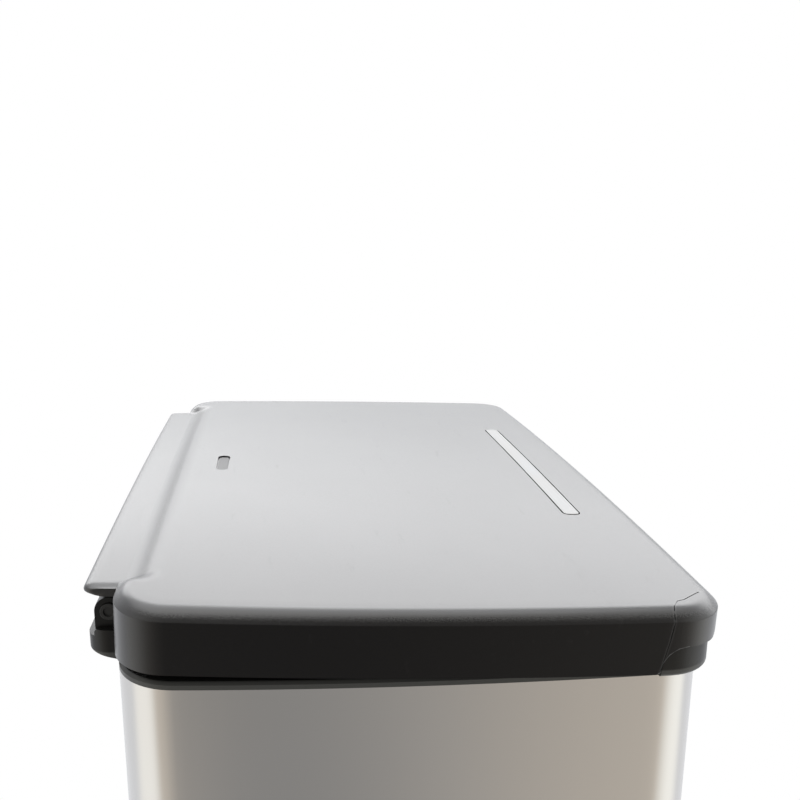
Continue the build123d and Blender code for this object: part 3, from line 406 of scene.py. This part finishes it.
def collar_plastic():
    """Black moulded plastic, with a painted highlight: paler grey on the thin lip that lies on the shell,
    standing in for the light it catches.
    """
    f = Finish("black_collar")
    place = f.place()
    up = f.node("ShaderNodeSeparateXYZ", {}, place)[2]
    grain = f.noise(place, 1200.0, 2.0, 0.5)
    broad = f.noise(place, 14.0, 3.0, 0.5)
    # Painted highlight: the lip band between 611.2 and 616.4 mm high is coloured paler grey to stand in for
    # the light it catches
    lip = up.rise(0.6112, 0.6118) * (1.0 - up.rise(0.6152, 0.6164))
    dark = f.mix(broad, (0.0055, 0.0055, 0.0048), (0.0075, 0.0075, 0.0066))
    f.set(Base_Color=f.mix(lip, dark, (0.060, 0.060, 0.055)), Specular_IOR_Level=0.28)
    f.set(Roughness=(0.32 + 0.08 * (grain - 0.5) + 0.08 * (broad - 0.5)).clamp())
    f.bump(grain, 0.00003)
    return f


def rubber(name):
    f = Finish(name)
    place = f.place()
    grain = f.noise(place, 700.0, 3.0, 0.6)
    dust = f.noise(place, 45.0, 4.0, 0.6)
    f.set(Base_Color=f.mix(dust.rise(0.5, 0.75), (0.014, 0.014, 0.014), (0.035, 0.034, 0.033)))
    f.set(Roughness=(0.68 + 0.2 * (grain - 0.5)).clamp())
    f.bump(grain, 0.00008)
    return f


lid_finish = lid_plastic()
trim_finish = plain_plastic("black_trim", (0.010, 0.010, 0.0095), 0.34)
collar_finish = collar_plastic()
bucket_finish = plain_plastic("grey_bucket", (0.030, 0.031, 0.033), 0.46, 800.0, 0.00006)
guide_finish = plain_plastic("white_guide", (0.55, 0.55, 0.53), 0.42)
shell_finish = brushed_steel(
    "brushed_shell", (0.63, 0.625, 0.615), 0.20, (1.0, 1.0, 0.012), 0.000004, (1.0, 0.985, 0.965)
)
pedal_finish = brushed_steel("pedal_steel", (0.60, 0.59, 0.575), 0.32, (0.02, 1.0, 1.0))
zinc_finish = brushed_steel("zinc_steel", (0.50, 0.51, 0.52), 0.40, (1.0, 1.0, 1.0), 0.00002)
silver_finish = brushed_steel("silver_trim", (0.30, 0.31, 0.32), 0.50, (0.02, 1.0, 1.0))
screw_finish = brushed_steel("screw_steel", (0.58, 0.58, 0.58), 0.26, (1.0, 1.0, 1.0))
rubber_finish = rubber("black_rubber")


# Lid: one skin over the crowned top, the bevel, the skirt and the inside
def cut_height(y):
    """Lower edge of the skirt at y, with the front cut-out and the sloped front lip."""
    if y > -FRONT_CUT_Y:
        low = -SKIRT
    elif y > -FRONT_CUT_Y - FRONT_CUT_RADIUS:
        rise = FRONT_CUT_RADIUS**2 - (y + FRONT_CUT_Y + FRONT_CUT_RADIUS) ** 2
        low = -FRONT_SKIRT - FRONT_CUT_RADIUS + math.sqrt(max(rise, 0.0))
    else:
        low = -FRONT_SKIRT
    slope = -FRONT_SKIRT + (-143.5 - y) / 6.5 * 5.6
    return max(low, slope)


def lid_ring(inset, height, extra):
    """height gives z from (x, y, x and y on the outer edge)."""
    outer = outline(LID_LENGTH, LID_WIDTH, LID_CORNER, 0.0, extra=extra)
    inner = outline(LID_LENGTH, LID_WIDTH, LID_CORNER, inset, extra=extra) if not callable(inset) else None
    ring = []
    for i, (ox, oy) in enumerate(outer):
        if inner is None:
            depth = inset(ox, oy)
            near = outline_cache(round(depth, 2), extra)[i]
        else:
            near = inner[i]
        ring.append(on_lid(near[0], near[1], height(near[0], near[1], ox, oy)))
    return ring


_outlines = {}


def outline_cache(inset, extra):
    if inset not in _outlines:
        _outlines[inset] = outline(LID_LENGTH, LID_WIDTH, LID_CORNER, inset, extra=extra)
    return _outlines[inset]


def rear_share(ox, oy):
    """1 along the hinge cover, 0 round the rest of the lid."""
    return smooth((COVER_HALF + 4.0 - abs(ox)) / 12.0) if oy > 120.0 else 0.0


def lip_depth(ox, oy):
    return LID_WALL + (FRONT_LIP - LID_WALL) * smooth((-122.0 - oy) / 12.0)


def make_lid():
    turn = 122.7
    arc = []
    for step in range(13):
        y = FRONT_CUT_Y + FRONT_CUT_RADIUS * (1 - math.cos(math.pi / 2 * step / 12))
        if y < turn:
            arc.append(y / turn)
    extra = tuple([(FRONT_CUT_Y - 0.02) / turn] + arc)
    bevel = [(9.0, 0.0), (7.6, 0.06), (6.4, 0.28), (5.2, 0.75), (4.0, 1.5)]
    bevel += [(2.8, 2.45), (1.7, 3.45), (0.8, 4.3), (0.25, 4.8)]
    rings = []
    base = outline(LID_LENGTH, LID_WIDTH, LID_CORNER, 30.0, extra=extra)
    for share in (0.04, 0.12, 0.22, 0.33, 0.44, 0.55, 0.66, 0.76, 0.85, 0.93):
        rings.append([on_lid(px * share, py * share, crown(px * share)) for px, py in base])

    def drop_at(plain, inset, under=0.0):
        rear = (COVER_STEP + 0.15) * smooth((22.0 - inset) / 21.0) + under

        def height(x, y, ox, oy):
            w = rear_share(ox, oy)
            return crown(x) - (max(plain, w * rear) if under else plain * (1 - w) + rear * w)

        return height

    for inset, drop in [(30.0, 0.0), (26.0, 0.0), (22.0, 0.0), (18.5, 0.0), (15.0, 0.0)] + bevel:
        rings.append(lid_ring(inset, drop_at(drop, inset), extra))
    edge = 5.1

    def side(share):
        def height(x, y, ox, oy):
            w = rear_share(ox, oy)
            top = crown(x) - (edge * (1 - w) + (COVER_STEP + 0.2) * w)
            low = cut_height(y) * (1 - w) + (crown(x) - COVER_STEP - COVER_THICKNESS + 0.4) * w
            return top + (low - top) * share

        return height

    for share in (0.0, 0.06, 0.25, 0.5, 0.75, 0.94, 0.985, 1.0):
        rings.append(lid_ring(0.0, side(share), extra))
    for share in (0.1, 0.3, 0.6, 0.9, 1.0):
        rings.append(lid_ring(lambda ox, oy, s=share: lip_depth(ox, oy) * s, side(1.0), extra))
    rings.append(lid_ring(lip_depth, lambda x, y, ox, oy: max(-10.0, side(1.0)(x, y, ox, oy) + 0.2), extra))
    inner = [(3.2, 8.6), (3.8, 6.4), (7.6, 3.6), (11.0, 2.9), (15.0, 2.7)]
    inner += [(inset, LID_WALL) for inset in (20.0, 25.0, 30.0)]
    for inset, low in inner:
        rings.append(lid_ring(inset, drop_at(low, inset, 1.3), extra))
    for share in (0.8, 0.55, 0.3, 0.08):
        rings.append([on_lid(px * share, py * share, crown(px * share) - LID_WALL) for px, py in base])
    lid = loft("lid_skin", rings)
    for name, place, length, width, corner in (
        ("strip_groove", STRIP_Y, STRIP_LENGTH + 1.6, STRIP_WIDTH + 1.6, STRIP_CORNER + 0.8),
        ("badge_groove", BADGE_Y, BADGE_LENGTH + 1.6, BADGE_WIDTH + 1.6, BADGE_WIDTH / 2 + 0.8),
    ):
        cutter = rounded_slab(name, 0.0, place, length, width, corner, -1.3, 6.0)
        cut = lid.modifiers.new(name, "BOOLEAN")
        cut.operation = "DIFFERENCE"
        cut.solver = "EXACT"
        cut.object = cutter
        finish_shape(lid)
        bpy.data.objects.remove(cutter)
    shade(lid, 30.0)
    dress(lid, lid_finish)
    return lid


def slab_outline(length, width, corner, turns=10):
    ring = []
    for sx, sy, start in ((1, 1, 0), (-1, 1, 90), (-1, -1, 180), (1, -1, 270)):
        for i in range(turns + 1):
            a = math.radians(start + 90 * i / turns)
            x = sx * (length / 2 - corner) + corner * math.cos(a)
            ring.append((x, sy * (width / 2 - corner) + corner * math.sin(a)))
    return ring


def rounded_slab(name, x, y, length, width, corner, low, high):
    """A slab on the crowned top, between two heights above the crowned surface."""
    ring = slab_outline(length, width, corner)
    dense = []
    for a, b in zip(ring, ring[1:] + ring[:1]):
        steps = max(1, int(abs(b[0] - a[0]) / 8.0))
        for i in range(steps):
            dense.append((a[0] + (b[0] - a[0]) * i / steps, a[1] + (b[1] - a[1]) * i / steps))
    rings = []
    for z in (low, high):
        rings.append([on_lid(x + px, y + py, crown(x + px) + z) for px, py in dense])
    return loft(name, rings)


lid_skin = make_lid()


def make_cover():
    """The lower step over the hinge, with a rounded nose and rounded ends."""
    profile = [
        (146.0, 0.0), (150.0, 0.0), (156.0, 0.0), (161.0, 0.02), (163.5, 0.12), (165.2, 0.4), (166.5, 0.85),
        (167.3, 1.4), (167.8, 2.1), (168.0, 2.9), (167.9, 3.4), (167.2, 3.9), (164.5, 4.8), (161.5, 5.3),
        (156.0, 5.3), (150.0, 5.3), (146.0, 5.3), (146.0, 2.5),
    ]
    stations = []
    for i in range(9):
        stations.append(COVER_HALF - COVER_CORNER * (1 - math.sin(math.pi / 2 * i / 8)))
    spread = sorted(set([-s for s in stations] + stations + [x * 14.0 for x in range(-14, 15)]))
    rings = []
    for x in spread:
        past = max(abs(x) - (COVER_HALF - COVER_CORNER), 0.0)
        short = COVER_CORNER - math.sqrt(max(COVER_CORNER**2 - past**2, 0.0))
        dip = 0.9 * smooth(past / COVER_CORNER)
        ring = []
        for y, z in profile:
            share = (y - 146.0) / 22.0
            sink = dip * max(1 - z / 2.9, 0.0)
            ring.append(on_lid(x, y - short * share, crown(x) - COVER_STEP - z - sink))
        rings.append(ring)
    cover = loft("hinge_cover", rings)
    dress(cover, lid_finish)
    return cover


hinge_cover = make_cover()
for piece in (lid_skin, hinge_cover):
    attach(piece, "lid")
    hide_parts("lid_shell")


# Hinge knuckles and the crank's pad under the lid, with the CAD sizes
def make_knuckle(name, x):
    """A knuckle hanging from the cover's underside round the hinge rod."""
    rings = []
    for along in (x, x + 0.5, x + 13.5, x + 14.0):
        shrink = 0.5 if along in (x, x + 14.0) else 0.0
        ring = []
        for i in range(25):
            a = math.pi + math.pi * i / 24
            ring.append((155.0 + (7.0 - shrink) * math.cos(a), -18.0 + (7.0 - shrink) * math.sin(a)))
        ring += [(161.5 - shrink, -12.0), (160.5 - shrink, -5.6)]
        ring += [(148.6 + shrink, -5.6), (148.2 + shrink, -12.0)]
        rings.append([on_lid(along, y, z) for y, z in ring])
    return loft(name, rings)


knuckles = [make_knuckle(f"hinge_knuckle_{i + 1}", x) for i, x in enumerate((-193.0, -33.0, 19.0, 179.0))]
for piece in knuckles:
    dress(piece, trim_finish)
    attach(piece, "lid")


pad_corners = [(x, y) for x, y in ((-17, 126), (17, 126), (17, 145), (-17, 145))]
crank_pad = loft(
    "crank_pad",
    [
        [on_lid(x, y, -2.1) for x, y in pad_corners],
        [on_lid(x, y, crown(x) - (2.8 if y < 130 else 5.4)) for x, y in pad_corners],
    ],
)
dress(crank_pad, trim_finish)
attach(crank_pad, "lid")


# Steel shell
def make_shell():
    """The sleeve, with the pedal's opening left out of its front and its wall given a thickness."""
    heights = [SHELL_BOTTOM, 20.0, 30.0, 43.0, OPENING_TOP, 70.0]
    heights += [70.0 + 33.875 * i for i in range(1, 16)] + [606.0, SHELL_TOP]
    side = outline(BODY_LENGTH, BODY_WIDTH, BODY_CORNER, 0.0, 48, 16, 60)
    side = [p for p in side if not (p[1] < -146.9 and 17.0 < abs(p[0]) < 31.0)]
    ring = side + [(x, -BODY_WIDTH / 2) for x in (OPENING_HALF, -OPENING_HALF)]
    ring.sort(key=lambda p: math.atan2(p[1], p[0]))
    rings = [[Vector((x, y, z)) * MM for x, y in ring] for z in heights]

    def keep(r, i):
        a, b = ring[i], ring[(i + 1) % len(ring)]
        inside = abs(a[0]) <= OPENING_HALF + 0.01 and abs(b[0]) <= OPENING_HALF + 0.01
        return not (inside and a[1] < -140 and b[1] < -140 and heights[r + 1] <= OPENING_TOP + 0.01)

    shell = loft("shell_skin", rings, False, False, keep)
    wall = shell.modifiers.new("wall", "SOLIDIFY")
    wall.thickness = SHELL_WALL * MM
    wall.offset = -1.0
    wall.use_even_offset = True
    finish_shape(shell)
    shade(shell, 40.0)
    dress(shell, shell_finish)
    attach(shell, "root")
    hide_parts("steel_shell")


make_shell()

# Pieces that keep the model's shape, their edges softened where a bevel width is given
soft_nodes = {
    "rim_collar": (collar_finish, 0.0005, 30),
    "base_pan": (trim_finish, 0.0005, 30),
    "bucket_left": (bucket_finish, 0.0, 30),
    "bucket_right": (bucket_finish, 0.0, 30),
    "accent_strip": (silver_finish, 0.0003, 30),
    "blank_inlay": (trim_finish, 0.0, 30),
    "hinge_rod": (trim_finish, 0.0003, 30),
    "pedal_lever": (zinc_finish, 0.0003, 30),
    "pedal_pad": (pedal_finish, 0.0005, 30),
    "pedal_tread": (rubber_finish, 0.0003, 30),
    "rubber_feet": (rubber_finish, 0.0, 30),
    "lid_liner": (trim_finish, 0.0004, 30),
    "crank_arm": (zinc_finish, 0.0003, 30),
    "pivot_bracket": (zinc_finish, 0.0003, 30),
    "guide_channel": (zinc_finish, 0.0002, 30),
    "push_rod": (zinc_finish, 0.0003, 30),
    "bucket_floor": (trim_finish, 0.0003, 30),
}
for node, (finish, bevel, angle) in soft_nodes.items():
    dress(refined(node, bevel, angle), finish)

own_finish = {
    "lid_bumpers": rubber_finish,
    "liner_screws": screw_finish,
    "crank_screws": screw_finish,
    "channel_screws": screw_finish,
    "bracket_screws": screw_finish,
    "pedal_screws": screw_finish,
    "crank_pin": zinc_finish,
    "lever_pin": zinc_finish,
    "pivot_pin": zinc_finish,
    "damper_piston": zinc_finish,
    "damper_cylinder": trim_finish,
    "damper_clamp": guide_finish,
    "lower_bush": guide_finish,
    "upper_bush": guide_finish,
}
for node, finish in own_finish.items():
    dress(nodes[node], finish)


# Floor, light and camera
# What stands round the bin, as glossy surfaces see it: a dark card on the camera's side, a warm wall on both
# sides of it, and white walls beyond. Places run from 0 at the rear side (+Y) to 1 at the front side (-Y).
DARK_CARD = (0.25, 0.245, 0.24)
WARM_WALL = (0.54, 0.495, 0.44)
REAR_WALL = (0.92, 0.91, 0.88)
FRONT_WALL = (0.98, 0.98, 0.95)
FAR_WALL = (0.665, 0.675, 0.70)
REAR_EDGE, FRONT_EDGE = (0.04, 0.13), (0.86, 1.0)
CARD_REAR_EDGE, CARD_FRONT_EDGE = (0.11, 0.40), (0.40, 0.95)
WALL_LEVEL = 1.4


def surroundings(f, x, y):
    """Colour of the surroundings towards x, y, as a share of WALL_LEVEL."""
    reach = (x * x + y * y) ** 0.5
    side = 0.5 - y / reach * 0.5
    card = side.rise(*CARD_REAR_EDGE) * (1.0 - side.rise(*CARD_FRONT_EDGE))
    shade = f.mix(card, WARM_WALL, DARK_CARD)
    shade = f.mix(side.rise(*REAR_EDGE), REAR_WALL, shade)
    shade = f.mix(side.rise(*FRONT_EDGE), shade, FRONT_WALL)
    return f.mix(x.rise(-0.1, 0.3), shade, FAR_WALL)


def make_floor():
    corners = [Vector((x, y, 0.0)) for x, y in ((-9, -9), (9, -9), (9, 9), (-9, 9))]
    floor = add_mesh("floor", corners, [(0, 1, 2, 3)])
    f = Finish("pale_floor")
    place = f.node("ShaderNodeSeparateXYZ", {}, f.place())
    out_x = place[0].math("ABSOLUTE", place[0]) - 0.245
    out_y = place[1].math("ABSOLUTE", place[1]) - 0.155
    far = out_x.math("MAXIMUM", out_x, out_y).rise(0.0, 0.27)
    f.set(Base_Color=(0.86, 0.86, 0.86, 1.0), Roughness=0.7, Specular_IOR_Level=0.1)
    seen = f.node("ShaderNodeLightPath")
    around = surroundings(f, place[0] + 0.24, place[1])
    plain = (1 / WALL_LEVEL,) * 3
    white = f.node("ShaderNodeEmission", {}, f.mix(seen[3], plain, around), WALL_LEVEL)[0]
    share = seen[0] * (0.55 + 0.45 * far) + seen[3]
    mixed = f.node("ShaderNodeMixShader", {}, share.clamp(), Socket(f, f.shader.outputs[0]), white)[0]
    f.tree.links.new(mixed.output, f.surface.inputs[0])
    dress(floor, f)


def make_world():
    world = bpy.data.worlds.new("studio")
    bpy.context.scene.world = world
    world.use_nodes = True
    f = Finish(tree=world.node_tree)
    ground = next(n for n in f.tree.nodes if n.bl_idname == "ShaderNodeBackground")
    seen = f.node("ShaderNodeLightPath")
    direction = f.node("ShaderNodeTexCoord")[0]
    east, north, _ = f.node("ShaderNodeSeparateXYZ", {}, direction)
    around = surroundings(f, east, north)
    level = seen[0] + seen[3] * WALL_LEVEL + (1.0 - seen[0] - seen[3]).clamp() * 0.62
    f.feed(ground.inputs[0], f.mix(seen[3], (1.0, 1.0, 1.0), around))
    f.feed(ground.inputs[1], level)


def add_light(name, place, target, size, power):
    data = bpy.data.lights.new(name, "AREA")
    data.shape = "RECTANGLE"
    data.size, data.size_y = size
    data.energy = power
    lamp = bpy.data.objects.new(name, data)
    bpy.context.scene.collection.objects.link(lamp)
    lamp.location = place
    lamp.rotation_euler = (Vector(target) - Vector(place)).to_track_quat("-Z", "Y").to_euler()
    lamp.visible_camera = False
    return lamp


make_floor()
make_world()
add_light("softbox_top", (0.3, 0.2, 2.6), (0, 0, 0.4), (2.4, 2.4), 34.0)
add_light("softbox_high", (2.6, -0.9, 2.35), (0.0, 0.0, 0.65), (8.0, 1.7), 120.0)

camera_data = bpy.data.cameras.new("camera")
camera = bpy.data.objects.new("camera", camera_data)
bpy.context.scene.collection.objects.link(camera)
bpy.context.scene.camera = camera
camera_data.sensor_width = 36.0
camera_data.lens = 922.7 / 800.0 * 36.0
camera_data.shift_x = (400.0 - 310.1) / 800.0
camera_data.shift_y = (439.7 - 400.0) / 800.0
camera_data.clip_start = 0.02


def turn(angle, axis):
    return Matrix.Rotation(math.radians(angle), 3, axis)


base = Matrix(((0, -1, 0), (0, 0, -1), (1, 0, 0)))
view = turn(-1.35, "Z") @ turn(-1.78, "Y") @ turn(14.13, "X") @ base
axes = Matrix((view[0], -view[1], -view[2])).transposed().to_4x4()
camera.matrix_world = Matrix.Translation(Vector((-640.6, 62.1, 834.5)) * MM) @ axes

scene = bpy.context.scene
scene.view_settings.view_transform = "Standard"
